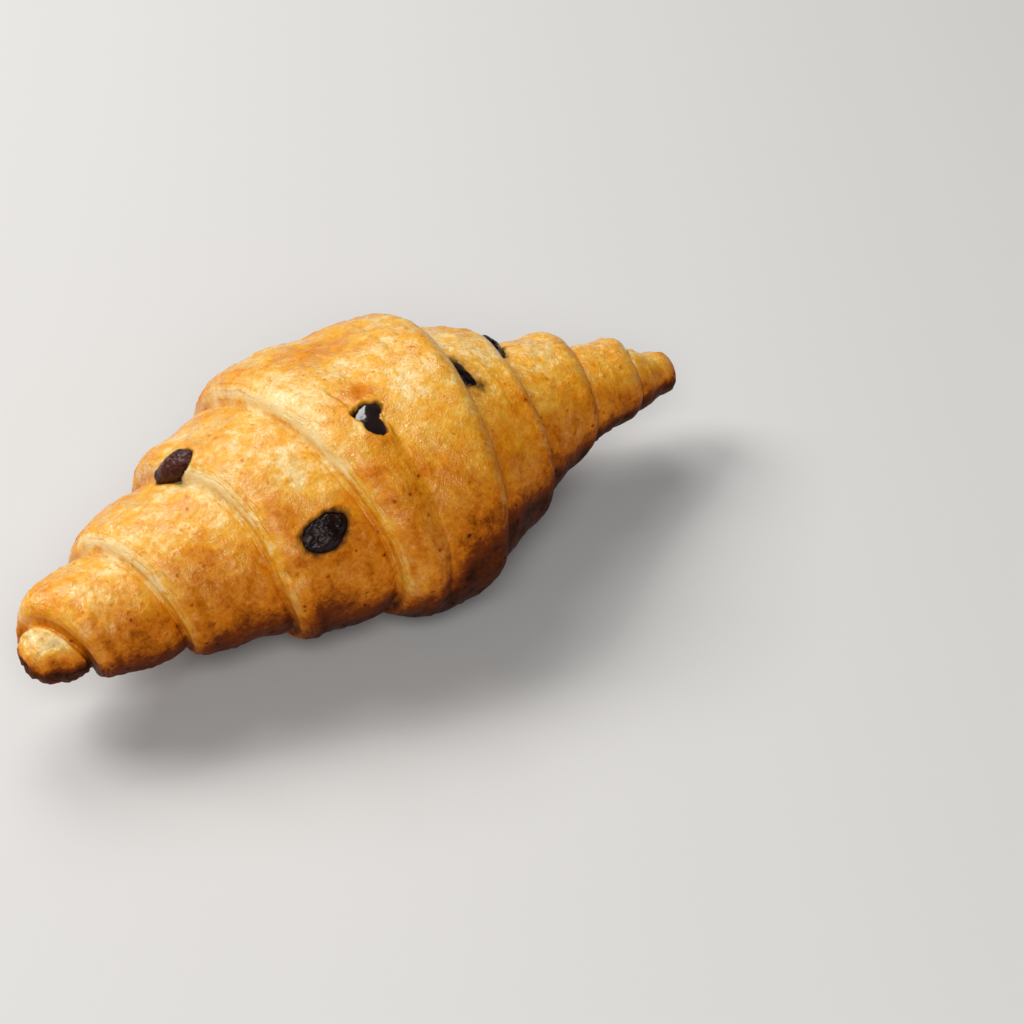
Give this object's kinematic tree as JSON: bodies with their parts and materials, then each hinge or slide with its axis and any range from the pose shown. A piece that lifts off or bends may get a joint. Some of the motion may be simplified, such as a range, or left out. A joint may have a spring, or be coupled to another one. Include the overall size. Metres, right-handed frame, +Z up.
{
  "type": "chocolate chip croissant",
  "caption": "Straight rolled croissant with stepped, rounded dough wraps, blunt raised tips and dark chocolate chips set in its crust.",
  "frame": {"origin": "bottom centre of the croissant's box, on the surface that it lies on", "axes": "+X along the roll from the thicker shown tip to the other, +Y to the back, +Z up"},
  "size_m": [0.15, 0.0692, 0.0471],
  "materials": {
    "crust": "golden baked crust with a dull egg-wash gloss, browner low down and at the tips",
    "chocolate": "dark chocolate, smooth and softly glossy"
  },
  "bodies": {
    "root": {"pastry": "crust", "chip_front": "chocolate", "chip_crown": "chocolate", "chip_left": "chocolate", "chip_right": "chocolate", "chip_skyline": "chocolate", "chip_back_left": "chocolate", "chip_back_middle": "chocolate", "chip_back_low": "chocolate", "chip_back_right": "chocolate"}
  },
  "joints": []
}
